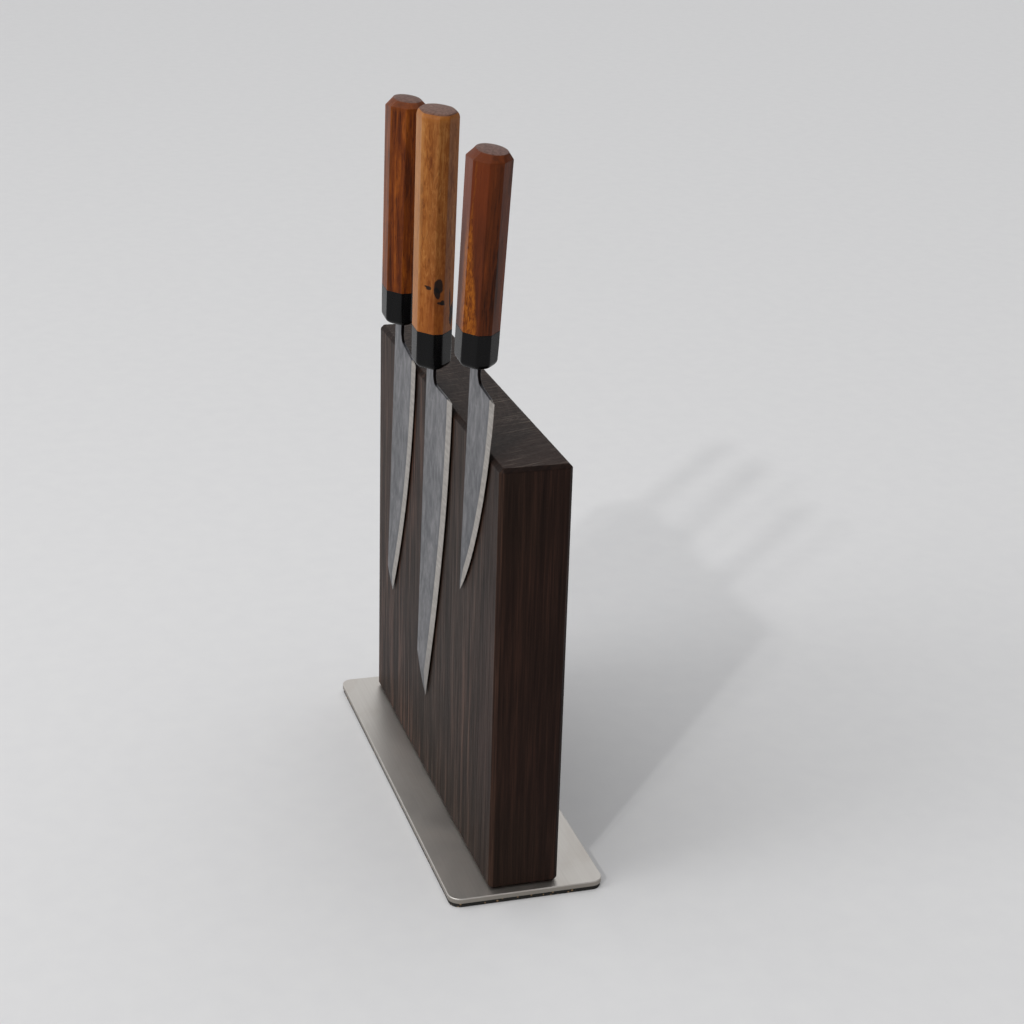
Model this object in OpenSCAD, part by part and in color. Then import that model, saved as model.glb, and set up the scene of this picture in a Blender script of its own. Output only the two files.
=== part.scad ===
// Upright magnetic knife stand with three octagon-handled knives.
// Millimetres. +Z is up, +X runs along the board, and the knives hang on the -Y face.
// The origin is the centre of the base pad's underside.

/* [Base] */
// Length of the base plate along X
plate_l = 282.2; // [275:0.5:330]
// Depth of the base plate along Y
plate_d = 89.2; // [80:0.2:120]
// Thickness of the stainless plate
plate_t = 3.2; // [3:0.1:6]
// Corner radius of the plate and the pad
plate_r = 7; // [3:0.5:15]
// Thickness of the cork-rubber pad
pad_t = 2.5; // [1:0.1:4]
// How far the pad's outline stays inside the plate's
pad_inset = 0.6; // [0:0.1:3]

/* [Board] */
// Width of the board
board_w = 267.4; // [256:0.2:272]
// Height of the board above the plate
board_h = 248.6; // [235:0.2:270]
// Thickness of the board, two glued halves together
board_t = 40; // [38:1:50]
// Chamfer along the board's outer edges
board_ease = 2.1; // [0.5:0.1:3]
// How far the board's centre stands off the plate's centre along X
board_shift_x = 2.6; // [0:0.1:4]
// How far the board's centre stands off the plate's centre along Y
board_shift_y = -1.5; // [-3:0.1:0]
// Seam between the far and the middle staves, from the board's centre
seam_far = -55; // [-60:0.5:-50]
// Seam between the middle and the near staves, from the board's centre
seam_near = 21.5; // [16:0.5:24]

/* [Magnets and joinery] */
// Diameter of each disc magnet
magnet_d = 20; // [15:0.5:20]
// Thickness of each disc magnet
magnet_t = 10; // [5:0.5:12]
// Magnets in one row
magnet_count = 7; // [7:1:7]
// Distance between magnets in a row
magnet_pitch = 37.8; // [37:0.1:38]
// Height of the lower row above the plate
magnet_low_z = 160; // [140:1:170]
// Height of the upper row above the plate
magnet_high_z = 216; // [200:1:220]
// Wood left between a magnet and the face of the board
magnet_skin = 2; // [1.5:0.1:4]
// Diameter of the dowels that align the two halves
dowel_d = 8; // [6:1:10]
// Length of the dowels that align the two halves
dowel_l = 24; // [16:1:28]

/* [Knives] */
// Thickness of the blades at the spine
blade_t = 2; // [1.5:0.1:3]
// Gap between a blade and the board's face
blade_gap = 0.1; // [0.05:0.05:0.5]
// Half the thickness of the cutting edge
edge_half_t = 0.12; // [0.1:0.02:0.3]
// Width of the neck between blade and ferrule
neck_w = 14; // [10:0.5:15]
// Diameter of the slotted dowel inside each handle
core_d = 15; // [12:0.5:16]
// Half width of a handle across the spine and edge flats, at the butt
butt_half_x = 14; // [13:0.1:15]
// Half width of a handle across its side flats, at the butt
butt_half_y = 10.6; // [10:0.1:11]
// Half width of a ferrule across the spine and edge flats
ferrule_half_x = 13.2; // [12.5:0.1:14]
// Half width of a ferrule across its side flats
ferrule_half_y = 10.1; // [9.5:0.1:10.5]
// Rounding at the lower edge of each ferrule
ferrule_round = 4.5; // [2:0.5:6]

/* [Hidden] */
far = 0;
middle = 1;
near = 2;
stave_names = ["far", "middle", "near"];
side_names = ["front", "rear"];
row_names = ["low", "high"];
knife_names = ["utility", "chef", "petty"];

function stave_node(side, i) = str(side_names[side], "_stave_", stave_names[i]);
function magnet_node(side, row, i) = str(side_names[side], "_magnet_", row_names[row], "_", i + 1);

// Clearance that keeps a round piece clear of the hole it sits in
fit = 0.05;
// How far a cutter runs past the face that it cuts
past = 1;
// Thickness of the slices that a handle is lofted through
thin = 0.02;

base_t = pad_t + plate_t;
half_t = board_t / 2;
stave_edges = [-board_w / 2, seam_far, seam_near, board_w / 2];
function stave_mid(i) = (stave_edges[i] + stave_edges[i + 1]) / 2;
magnet_rows = [magnet_low_z, magnet_high_z];
function magnet_x(i) = (i - (magnet_count - 1) / 2) * magnet_pitch;
dowel_rows = [60, 120];

// Countersunk M5 screws up through the plate into brass inserts in the board's foot
screw_r = 2.5;
screw_head_r = 5;
screw_head_h = 2.5;
screw_l = 14;
screw_clear_r = 2.75;
insert_r = 4;
insert_bore_r = 2.6;
insert_l = 15;
screw_xy = [for (x = [stave_mid(far), stave_mid(near)]) for (y = [-half_t / 2, half_t / 2]) [x, y]];

// Each knife: where its ferrule's lower centre stands, from the middle of the board's
// foot; the knife's tilt along the board; how far its handle leans away from the blade's
// plane; the ferrule's centre measured from the spine and from the heel; the length of
// handle and ferrule together; the ferrule's height; and the butt, cut with a flat
// chamfer or rounded over.
foot_x = 0;
foot_z = 1;
tilt = 2;
lean = 3;
axis_from_spine = 4;
axis_from_heel = 5;
handle_l = 6;
ferrule_h = 7;
butt_cut = 8;
butt_round = 9;
knife = [
    [-76.9, 268.1, 5.3, -0.3, 7.2, 13.7, 134.5, 21, 4.6, false],
    [-3.9, 263.3, 4.2, -0.3, 5.3, 5.6, 146.8, 22, 4, true],
    [87.1, 292.2, 5.5, 1, 6.2, 8, 115.4, 19.8, 4.6, false]
];

// Cutting edge of each blade as a cubic curve from heel to tip: x across the blade
// from the spine line, z down the blade from the heel. Then the height at which the
// spine starts its drop to the tip, and the width of the ground bevel.
edge_curve = [
    [[47, 0], [47.5, -52], [39, -104], [11.2, -168]],
    [[52.5, 0], [52.6, -65], [41, -125], [19, -204]],
    [[43.5, 0], [42, -48], [21, -106], [-1.5, -132]]
];
drop_z = [-156, -183, -120];
bevel_w = [7, 8.4, 6.2];
// Height of each choil beside the neck, above the heel
choil_z = [2.5, -2.5, 0];
choil_r = 5;
blade_steps = 36;
bevel_half_t = 0.75;

function cubic(p, t) =
    pow(1 - t, 3) * p[0] + 3 * pow(1 - t, 2) * t * p[1] + 3 * (1 - t) * t * t * p[2] + pow(t, 3) * p[3];

// An octagon with flats across both axes; half_x and half_y are its half widths
function octagon(half_x, half_y, inset = 0) =
    let (
        a = half_x - inset,
        b = half_y - inset,
        c = 0.64 * half_y - 0.586 * inset
    )
    [[a, c - b], [a, b - c], [a - c, b], [c - a, b], [-a, b - c], [-a, c - b], [c - a, -b], [a - c, -b]];

function bevelled_rect(w, h, c) = [
    [w / 2 - c, -h / 2], [w / 2, c - h / 2], [w / 2, h / 2 - c], [w / 2 - c, h / 2],
    [c - w / 2, h / 2], [-w / 2, h / 2 - c], [-w / 2, c - h / 2], [c - w / 2, -h / 2]
];

module rounded_slab(l, d, r, t) {
    translate([-l / 2 + r, -d / 2, 0]) cube([l - 2 * r, d, t]);
    translate([-l / 2, -d / 2 + r, 0]) cube([l, d - 2 * r, t]);
    for (x = [-1, 1])
        for (y = [-1, 1])
            translate([x * (l / 2 - r), y * (d / 2 - r), 0]) cylinder(r = r, h = t, $fn = 64);
}

module at_board() {
    translate([board_shift_x, board_shift_y, base_t]) children();
}

// Places a child, drawn along +Z from its own origin, inwards from the front face at depth y
module inward(x, y, z) {
    translate([x, y, z]) rotate([-90, 0, 0]) children();
}

module base_pad() {
    color([0.1, 0.11, 0.1])
        rounded_slab(plate_l - 2 * pad_inset, plate_d - 2 * pad_inset, plate_r - pad_inset, pad_t);
}

module base_plate() {
    color([0.72, 0.71, 0.69])
        difference() {
            translate([0, 0, pad_t]) rounded_slab(plate_l, plate_d, plate_r, plate_t);
            for (p = screw_xy)
                translate([board_shift_x + p[0], board_shift_y + p[1], pad_t]) {
                    translate([0, 0, -past]) cylinder(r = screw_clear_r, h = plate_t + 2 * past, $fn = 32);
                    cylinder(
                        r1 = screw_head_r + 2 * fit,
                        r2 = screw_r + 2 * fit,
                        h = screw_head_h,
                        $fn = 32
                    );
                }
        }
}

module base_screws() {
    color("silver")
        for (p = screw_xy)
            translate([board_shift_x + p[0], board_shift_y + p[1], pad_t])
                difference() {
                    union() {
                        cylinder(r1 = screw_head_r, r2 = screw_r, h = screw_head_h, $fn = 32);
                        cylinder(r = screw_r, h = screw_l, $fn = 32);
                    }
                    translate([0, 0, -past]) cylinder(r = 1.7, h = past + 1.6, $fn = 6);
                }
}

module threaded_inserts() {
    color([0.75, 0.6, 0.3])
        at_board()
            for (p = screw_xy)
                translate([p[0], p[1], 0])
                    difference() {
                        cylinder(r = insert_r, h = insert_l, $fn = 32);
                        translate([0, 0, -past]) cylinder(r = insert_bore_r, h = insert_l + 2 * past, $fn = 32);
                    }
}

module board_dowels() {
    color([0.75, 0.6, 0.42])
        at_board()
            for (i = [far:near])
                for (z = dowel_rows)
                    inward(stave_mid(i), -dowel_l / 2, z) cylinder(d = dowel_d, h = dowel_l, $fn = 32);
}

module board_body() {
    translate([0, 0, board_h / 2])
        intersection() {
            linear_extrude(height = board_h, center = true) polygon(bevelled_rect(board_w, board_t, board_ease));
            rotate([90, 0, 0])
                linear_extrude(height = board_t, center = true)
                    polygon(bevelled_rect(board_w, board_h, board_ease));
            rotate([90, 0, 90])
                linear_extrude(height = board_w, center = true)
                    polygon(bevelled_rect(board_t, board_h, board_ease));
        }
}

// One stave of the half behind the knives; the rear half is its mirror image
module stave(i) {
    x0 = stave_edges[i];
    x1 = stave_edges[i + 1];
    difference() {
        intersection() {
            board_body();
            translate([x0, -half_t, 0]) cube([x1 - x0, half_t, board_h]);
        }
        for (z = magnet_rows)
            for (k = [0:magnet_count - 1])
                if (magnet_x(k) > x0 && magnet_x(k) < x1)
                    inward(magnet_x(k), magnet_skin - half_t, z)
                        cylinder(r = magnet_d / 2 + fit, h = half_t, $fn = 48);
        for (z = dowel_rows)
            inward(stave_mid(i), -dowel_l / 2, z) cylinder(r = dowel_d / 2 + fit, h = dowel_l, $fn = 32);
        for (p = screw_xy)
            if (p[0] > x0 && p[0] < x1 && p[1] < 0)
                translate([p[0], p[1], -past]) cylinder(r = insert_r + fit, h = insert_l + past, $fn = 32);
    }
}

module board_stave(side, i) {
    color([0.235, 0.196, 0.18])
        at_board() mirror([0, side, 0]) stave(i);
}

module magnet(side, row, i) {
    color([0.6, 0.6, 0.62])
        at_board()
            mirror([0, side, 0])
                inward(magnet_x(i), magnet_skin - half_t, magnet_rows[row])
                    cylinder(d = magnet_d, h = magnet_t, $fn = 48);
}

// The middle of every blade's thickness, in front of the board's face
blade_y = -half_t - blade_gap - blade_t / 2;

// Stands a child at knife k's ferrule, in the blade's own directions:
// +X towards the cutting edge and +Z up the spine
module at_blade(k) {
    at_board()
        translate([knife[k][foot_x], blade_y, knife[k][foot_z]]) rotate([0, knife[k][tilt], 0]) children();
}

// The same, leaned back to the handle's direction
module at_handle(k) {
    at_blade(k) rotate([-knife[k][lean], 0, 0]) children();
}

// One ring of a blade: spine, bevel line and edge, on both sides
function blade_ring(k, t) =
    let (
        edge = cubic(edge_curve[k], t),
        tip = edge_curve[k][3],
        drop = max(0, (drop_z[k] - edge[1]) / (drop_z[k] - tip[1])),
        spine_x = min(edge[0] - 0.4, tip[0] * drop),
        wide = edge[0] - spine_x,
        bevel_x = edge[0] - min(bevel_w[k], 0.7 * wide),
        spine_half_t = blade_t / 2 * min(1, 0.35 + wide / 20)
    )
    [
        [spine_x, -spine_half_t, edge[1]],
        [bevel_x, -min(bevel_half_t, spine_half_t), edge[1]],
        [edge[0], -edge_half_t, edge[1]],
        [edge[0], edge_half_t, edge[1]],
        [bevel_x, min(bevel_half_t, spine_half_t), edge[1]],
        [spine_x, spine_half_t, edge[1]]
    ];

// The ground blade, as one closed skin over its rings. The first ring repeats the
// heel's a little higher, so that the choil can be cut out of it.
module ground_blade(k) {
    sides = 6;
    rise = 5;
    rings = concat(
        [[for (p = blade_ring(k, 0)) p + [0, 0, rise]]],
        [for (i = [0:blade_steps]) blade_ring(k, i / blade_steps)]
    );
    points = [for (ring = rings) for (p = ring) p];
    skin = [
        for (i = [0:blade_steps])
            for (j = [0:sides - 1])
                let (a = i * sides + j, b = i * sides + (j + 1) % sides)
                    each [[a, b, b + sides], [a, b + sides, a + sides]]
    ];
    heel_cap = [for (j = [1:sides - 2]) [0, j + 1, j]];
    last = (blade_steps + 1) * sides;
    tip_cap = [for (j = [1:sides - 2]) [last, last + j, last + j + 1]];
    polyhedron(points = points, faces = concat(skin, heel_cap, tip_cap));
}

// Everything beyond the choil: right of the neck and above the line to the heel
module choil_cut(k) {
    heel_x = edge_curve[k][0][0];
    top = 30;
    rotate([90, 0, 0])
        linear_extrude(height = 2 * blade_t, center = true)
            polygon(concat(
                [[neck_w, top]],
                [for (a = [180:10:270]) [neck_w + choil_r * (1 + cos(a)), choil_z[k] + choil_r * (1 + sin(a))]],
                [[heel_x, 0], [heel_x + past, 0], [heel_x + past, top]]
            ));
}

// The neck that joins the blade to the ferrule
module neck(k) {
    low = min(choil_z[k], 0) - 0.5;
    translate([0, -blade_t / 2, low]) cube([neck_w + choil_r, blade_t, knife[k][axis_from_heel] + 1 - low]);
}

// The tapered tang inside the handle
module tang(k) {
    tang_l = 0.62 * knife[k][handle_l];
    base = neck_w / 2 - 0.5;
    point = 3;
    rotate([90, 0, 0])
        linear_extrude(height = blade_t, center = true)
            polygon([[-base, 0.5], [base, 0.5], [point, tang_l], [-point, tang_l]]);
}

module knife_blade(k) {
    color([0.45, 0.45, 0.47])
        union() {
            at_blade(k)
                translate([-knife[k][axis_from_spine], 0, -knife[k][axis_from_heel]])
                    difference() {
                        union() {
                            ground_blade(k);
                            neck(k);
                        }
                        choil_cut(k);
                    }
            at_handle(k) tang(k);
        }
}

// Slot for the neck and the tang, a little wider than both
module tang_slot(k) {
    translate([-neck_w / 2 - 2, -blade_t / 2 - fit, -past])
        cube([neck_w + 4, blade_t + 2 * fit, 0.62 * knife[k][handle_l] + past + fit]);
}

// A prism of octagons: its half widths grow from the ferrule's foot to the butt
function half_x_at(k, z) = ferrule_half_x + (butt_half_x - ferrule_half_x) * z / knife[k][handle_l];
function half_y_at(k, z) = ferrule_half_y + (butt_half_y - ferrule_half_y) * z / knife[k][handle_l];

// A thin octagonal slice of that prism that starts at height z
module slice(k, z, inset) {
    translate([0, 0, z])
        linear_extrude(height = thin) polygon(octagon(half_x_at(k, z), half_y_at(k, z), inset));
}

module knife_ferrule(k) {
    steps = 6;
    color([0.08, 0.08, 0.09])
        at_handle(k)
            difference() {
                hull() {
                    for (i = [0:steps])
                        slice(
                            k,
                            ferrule_round * (1 - cos(90 * i / steps)),
                            ferrule_round * (1 - sin(90 * i / steps))
                        );
                    slice(k, knife[k][ferrule_h] - thin, 0);
                }
                translate([0, 0, 3]) cylinder(r = core_d / 2 + fit, h = knife[k][ferrule_h], $fn = 48);
                tang_slot(k);
            }
}

module knife_handle(k) {
    foot = knife[k][ferrule_h];
    top = knife[k][handle_l];
    cut = knife[k][butt_cut];
    steps = knife[k][butt_round] ? 6 : 1;
    color([0.45, 0.26, 0.12])
        at_handle(k)
            difference() {
                hull() {
                    slice(k, foot, 0);
                    for (i = [0:steps])
                        slice(k, top - thin - cut * (1 - sin(90 * i / steps)), cut * (1 - cos(90 * i / steps)));
                }
                translate([0, 0, foot - past])
                    cylinder(r = core_d / 2 + fit, h = 0.62 * top + 3 - foot + past, $fn = 48);
            }
}

module knife_core(k) {
    color([0.75, 0.6, 0.42])
        at_handle(k)
            difference() {
                translate([0, 0, 3]) cylinder(d = core_d, h = 0.62 * knife[k][handle_l], $fn = 48);
                tang_slot(k);
            }
}

base_pad();
base_plate();
base_screws();
threaded_inserts();
board_dowels();
for (side = [0:1])
    for (i = [far:near])
        board_stave(side, i);
for (side = [0:1])
    for (row = [0:1])
        for (i = [0:magnet_count - 1])
            magnet(side, row, i);
for (k = [0:2]) {
    knife_blade(k);
    knife_ferrule(k);
    knife_handle(k);
    knife_core(k);
}
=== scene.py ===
"""Looks for the magnetic knife stand: wood, steel, horn and cork-rubber, and the studio round it."""

import math

import bmesh
import bpy
from mathutils import Matrix, Vector
from mathutils.geometry import delaunay_2d_cdt


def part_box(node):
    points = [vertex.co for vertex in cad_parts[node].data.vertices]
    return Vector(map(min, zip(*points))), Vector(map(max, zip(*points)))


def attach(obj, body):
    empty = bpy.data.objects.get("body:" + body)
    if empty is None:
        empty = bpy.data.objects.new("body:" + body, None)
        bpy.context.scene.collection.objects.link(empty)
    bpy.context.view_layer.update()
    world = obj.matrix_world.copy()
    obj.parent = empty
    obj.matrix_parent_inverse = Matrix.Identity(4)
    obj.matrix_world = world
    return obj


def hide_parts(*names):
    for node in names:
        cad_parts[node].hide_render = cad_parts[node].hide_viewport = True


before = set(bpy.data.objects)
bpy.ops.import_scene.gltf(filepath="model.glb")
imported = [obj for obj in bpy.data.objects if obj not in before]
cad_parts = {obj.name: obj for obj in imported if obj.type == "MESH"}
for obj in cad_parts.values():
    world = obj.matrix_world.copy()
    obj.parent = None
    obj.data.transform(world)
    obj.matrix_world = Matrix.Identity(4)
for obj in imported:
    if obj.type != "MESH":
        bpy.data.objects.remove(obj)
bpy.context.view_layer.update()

MM = 0.001
SIDES = ["front", "rear"]

# The stand's sizes in millimetres, the same as the CAD model's.
BOARD_SHIFT = Vector((2.6, -1.5, 5.7))
BOARD_EASE = 2.1
PLATE_R = 7
PLATE_TOP = 5.7
PAD_R = 6.4

# The board's wood. For each stave: its pith (x, y), its own draw of the grain, and the radius round the
# pith where its redder heartwood starts.
STAVE_WOOD = {
    "far": ((-150, -90), 5.1, 400),
    "middle": ((-10, -95), 2.3, 400),
    "near": ((34, -50), 0.7, 79),
}
BOARD_FACES = ("long", "sawn", "narrow")
# Where the deeper saw scores cross the top.
SCORED_LINES = (20.9, -14, 61)
# Where the board's chamfers lie: x - y on the near front corner, and x + z and z - y on the top edges.
LIT_WORN_CORNER = 155.7
DARK_END_EDGE = 388.5
DARK_FRONT_EDGE = 273.7

# The knives' sizes in millimetres and degrees, the same as the CAD model's except where a comment says so.
# The blades lie in the plane y = BLADE_Y. The three half thicknesses are at the spine, where the bevel
# starts, and at the edge.
BLADE_Y = -21.1
BLADE_HALF_T = 1.0
BEVEL_HALF_T = 0.75
EDGE_HALF_T = 0.12
NECK_W = 14
CHOIL_R = 5
CHOIL_STEPS = 8
# Half the octagon's width and depth, at the ferrule's foot and at the butt.
FERRULE_HALF = (13.2, 10.1)
BUTT_HALF = (14, 10.6)
# The visual model's own: how far the sawn butt's middle rises, and the round at the ferrule's foot, which
# is 4.5 in the CAD model.
BUTT_CROWN = 0.35
FERRULE_ROUND = 3.6
# foot: the ferrule's foot (x, z) on the board. tilt and lean: the knife's turn in the board's plane and
# away from it. axis: the handle's axis from the spine and the heel. edge: a cubic curve from the heel to
# the tip. drop_z: where the spine starts to drop to the tip. bevel_w: the bevel's width, 0.2 less for the
# chef's knife than in the CAD model. choil_z: the choil's height above the heel.
# The visual model's own: facet, the cut of the octagon's corners as a share of its half depth; soft, the
# round on them; butt_cut and butt_lean, the shoulder's depth and how much deeper it gets towards the
# spine; butt_oval, the sawn butt's middle, half sizes and turn; bright_choil, how much of the choil is clear
# of scale.
KNIFE_SIZES = {
    "utility": {
        "foot": (-76.9, 268.1), "tilt": 5.3, "lean": -0.3, "axis": (7.2, 13.7), "handle_l": 134.5,
        "ferrule_h": 21, "facet": 0.7, "soft": 0.75, "butt_round": False,
        "butt_cut": 3.75, "butt_lean": 0.18, "butt_oval": (0, 0.6, 9.7, 6.9, 24),
        "edge": [(47, 0), (47.5, -52), (39, -104), (11.2, -168)],
        "drop_z": -156, "bevel_w": 7, "choil_z": 2.5, "bright_choil": 1,
    },
    "chef": {
        "foot": (-3.9, 263.3), "tilt": 4.2, "lean": -0.3, "axis": (5.3, 5.6), "handle_l": 146.8,
        "ferrule_h": 22, "facet": 0.73, "soft": 1.3, "butt_round": True,
        "butt_cut": 4, "butt_lean": 0.08, "butt_oval": (0.1, 0, 11.3, 8.3, 17),
        "edge": [(52.5, 0), (52.6, -65), (41, -125), (19, -204)],
        "drop_z": -183, "bevel_w": 8.2, "choil_z": -2.5, "bright_choil": 1,
    },
    "petty": {
        "foot": (87.1, 292.2), "tilt": 5.5, "lean": 1, "axis": (6.2, 8), "handle_l": 115.4,
        "ferrule_h": 19.8, "facet": 0.65, "soft": 0.9, "butt_round": False,
        "butt_cut": 4.1, "butt_lean": 0.1, "butt_oval": (0.4, 0.9, 10.5, 7.5, 15),
        "edge": [(43.5, 0), (42, -48), (21, -106), (-1.5, -132)],
        "drop_z": -120, "bevel_w": 6.2, "choil_z": 0, "bright_choil": 0.6,
    },
}

# The lights: two far lamps, each by its azimuth and elevation in degrees and its strength, and a round
# panel, by its place and width in metres and its power in watts.
LAMP_WIDTH = 1.9
LAMP_COLOUR = (1, 0.99, 0.975)
LAMPS = {"key": ((-41.0, 33.0), 0.47), "second": ((-44.5, 33.5), 0.18)}
PANEL_PLACE = (0.3, -2.4, 1.5)
PANEL_WIDTH = 1.6
PANEL_POWER = 20
# The sky's levels low down and overhead, on the dark and on the bright side, and how far a direction has
# to point to the bright side, or up, to go from one to the other.
SKY_BRIGHT_SIDE = (-0.72, -0.62, 0.3)
SKY_SIDE_RANGE = (-0.9, 0.6)
SKY_RISE = (0.4, 0.85)
SKY_LOW = (0.06, 0.64)
SKY_HIGH = (0.36, 1.02)
SKY_COLOUR = (0.985, 0.99, 1.0, 1)
# The radii of the floor's rings in metres, and the steps round them.
FLOOR_RINGS = (0.6, 3, 12, 60)
FLOOR_STEPS = 64

# The camera: its place in metres, its azimuth, elevation and roll in degrees, and its lens in millimetres.
CAMERA_PLACE = (1.113867, -0.317549, 0.633993)
CAMERA_TURN = (-17.217, 21.507, 1.705)
CAMERA_LENS = 74.905
CAMERA_SENSOR = 36
CAMERA_CLIP_END = 200


# ---------------------------------------------------------------- mesh helpers

def finish_mesh(name, mesh, body, looks, replaced):
    """Makes the shown piece of a finished mesh and its materials, with crisp flats and soft edges."""
    piece = bpy.data.objects.new(name, mesh)
    bpy.context.scene.collection.objects.link(piece)
    mesh.shade_smooth()
    mesh.set_sharp_from_angle(angle=math.radians(50))
    if "bevel_line" in mesh.attributes:
        for edge, line in zip(mesh.edges, mesh.attributes["bevel_line"].data):
            edge.use_edge_sharp = edge.use_edge_sharp or line.value
    for material in looks:
        mesh.materials.append(material)
    even = piece.modifiers.new("flat faces stay flat", "WEIGHTED_NORMAL")
    even.keep_sharp = True
    even.weight = 80
    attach(piece, body)
    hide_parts(*replaced)
    return piece


def filleted(points, radius, steps, closed=True):
    """A 2D outline with each corner rounded to an arc of up to that radius."""
    result = []
    count = len(points)
    for i, here in enumerate(points):
        if not closed and i in (0, count - 1):
            result.append(Vector(here))
            continue
        here = Vector(here)
        back = Vector(points[i - 1]) - here
        ahead = Vector(points[(i + 1) % count]) - here
        reach = min(back.length, ahead.length) * 0.45
        back.normalize()
        ahead.normalize()
        half = 0.5 * math.acos(max(-1.0, min(1.0, back.dot(ahead))))
        if half > math.radians(88):
            result.append(here)
            continue
        tangent = min(radius / math.tan(half), reach)
        r = tangent * math.tan(half)
        middle = here + (back + ahead).normalized() * (r / math.sin(half))
        first = here + back * tangent - middle
        last = here + ahead * tangent - middle
        sweep = first.angle_signed(last)
        for k in range(steps + 1):
            turn = Matrix.Rotation(-sweep * k / steps, 2)
            result.append(middle + turn @ first)
    return result


def quarter(radius, steps):
    """A quarter circle from (0, radius) to (radius, 0), bulging towards (0, 0)."""
    turns = [math.pi / 2 * i / steps for i in range(steps + 1)]
    return [(radius * (1 - math.cos(turn)), radius * (1 - math.sin(turn))) for turn in turns]


def loft(rings, place):
    """A closed skin over rings of equally many 3D points in millimetres, placed by a matrix."""
    count = len(rings[0])
    points = [Vector(p) for ring in rings for p in ring]
    faces = []
    for i in range(len(rings) - 1):
        for j in range(count):
            a = i * count + j
            b = i * count + (j + 1) % count
            faces.append((a, b, b + count, a + count))
    faces.append(tuple(reversed(range(count))))
    faces.append(tuple(range(len(points) - count, len(points))))
    mesh = bpy.data.meshes.new("loft")
    mesh.from_pydata([place @ p * MM for p in points], [], faces)
    keep_local(mesh, points)
    return mesh


def keep_local(mesh, points):
    """Stores each vertex's own-frame place, in metres, for the grain and the marks."""
    attribute = mesh.attributes.new("local", "FLOAT_VECTOR", "POINT")
    attribute.data.foreach_set("vector", [c * MM for p in points for c in p])


# ---------------------------------------------------------------- knives

def blade_place(size):
    """From the blade's directions at the ferrule's foot to the row frame, in millimetres."""
    foot = Vector((size["foot"][0], BLADE_Y, size["foot"][1]))
    return Matrix.Translation(BOARD_SHIFT + foot) @ Matrix.Rotation(math.radians(size["tilt"]), 4, "Y")


def handle_place(size):
    """From the handle's own directions at the ferrule's foot to the row frame, in millimetres."""
    return blade_place(size) @ Matrix.Rotation(math.radians(-size["lean"]), 4, "X")


def octagon_ring(size, z, inset, soft):
    """The handle's rounded octagon at height z, drawn in by inset, with points along its flats too."""
    share = z / size["handle_l"]
    half_x = FERRULE_HALF[0] + (BUTT_HALF[0] - FERRULE_HALF[0]) * share
    half_y = FERRULE_HALF[1] + (BUTT_HALF[1] - FERRULE_HALF[1]) * share
    a = half_x - inset
    b = half_y - inset
    c = size["facet"] * half_y - 0.586 * inset
    half = [(a, c - b), (a, b - c), (a - c, b), (c - a, b)]
    corners = half + [(-x, -y) for x, y in half]
    rounded = filleted(corners, soft, 3)
    ring = []
    for i, p in enumerate(rounded):
        ring.append(Vector((p.x, p.y, z)))
        if i % 4 == 3:
            ahead = rounded[(i + 1) % len(rounded)]
            ring += [Vector((*p.lerp(ahead, k / 4), z)) for k in (1, 2, 3)]
    return ring


def butt_rim(size, p):
    """Where a point of the octagon comes to on the rim of the sawn butt, which is an uneven oval."""
    middle_x, middle_y, half_long, half_short, turn = size["butt_oval"]
    turn = math.radians(turn)
    angle = math.atan2(p.y / BUTT_HALF[1], p.x / BUTT_HALF[0]) - turn
    out = Vector((half_long * math.cos(angle), half_short * math.sin(angle)))
    return Vector((middle_x, middle_y)) + Matrix.Rotation(turn, 2) @ out


def handle_mesh(size):
    """The octagon from the ferrule up, its chamfered or rounded shoulder, and a slightly crowned butt."""
    foot = size["ferrule_h"]
    top = size["handle_l"]
    soft = size["soft"]
    rings = [octagon_ring(size, foot + 0.02, 0.14, soft), octagon_ring(size, foot + 0.16, 0, soft)]
    spans = 16
    for i in range(1, spans + 1):
        rings.append(octagon_ring(size, foot + (top - 8 - foot) * i / spans, 0, soft))
    # How far each ring of the shoulder has gone in, from the octagon to the rim, and up, from the cut to
    # the top.
    if size["butt_round"]:
        shoulder = [(inward, 1 - down) for inward, down in quarter(1, 9)]
    else:
        shoulder = filleted([(0, -1.5), (0, 0), (1, 1), (1.8, 1)], 0.2, 4, closed=False)[1:-1]
    outline = octagon_ring(size, top, 0, soft)
    for inward, upward in shoulder:
        ring = []
        for p in outline:
            depth = size["butt_cut"] - size["butt_lean"] * max(-8, min(8, p.x))
            across = Vector((p.x, p.y)).lerp(butt_rim(size, p), inward)
            ring.append(Vector((*across, top - BUTT_CROWN - depth * (1 - upward))))
        rings.append(ring)
    middle = Vector(size["butt_oval"][:2])
    for share, sunk in ((0.8, 0.5), (0.5, 0.15), (0.2, 0)):
        z = top - BUTT_CROWN * sunk
        rings.append([Vector((*middle.lerp(butt_rim(size, p), share), z)) for p in outline])
    return loft(rings, handle_place(size))


def ferrule_mesh(size):
    """The octagon below the wood, melting into a rounded foot."""
    top = size["ferrule_h"]
    profile = quarter(FERRULE_ROUND, 9) + [(top * 0.6, 0), (top - 0.12, 0), (top - 0.01, 0.1)]
    rings = []
    for z, inset in profile:
        melted = max(0, 1 - z / (1.6 * FERRULE_ROUND))
        rings.append(octagon_ring(size, z, inset, size["soft"] - 0.15 + 4.5 * melted))
    return loft(rings, handle_place(size))


def cubic(p, t):
    """The point at t, from 0 to 1, on a cubic curve with four control points."""
    weights = ((1 - t) ** 3, 3 * (1 - t) ** 2 * t, 3 * (1 - t) * t * t, t ** 3)
    return Vector((sum(w * q[0] for w, q in zip(weights, p)), sum(w * q[1] for w, q in zip(weights, p))))


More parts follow.
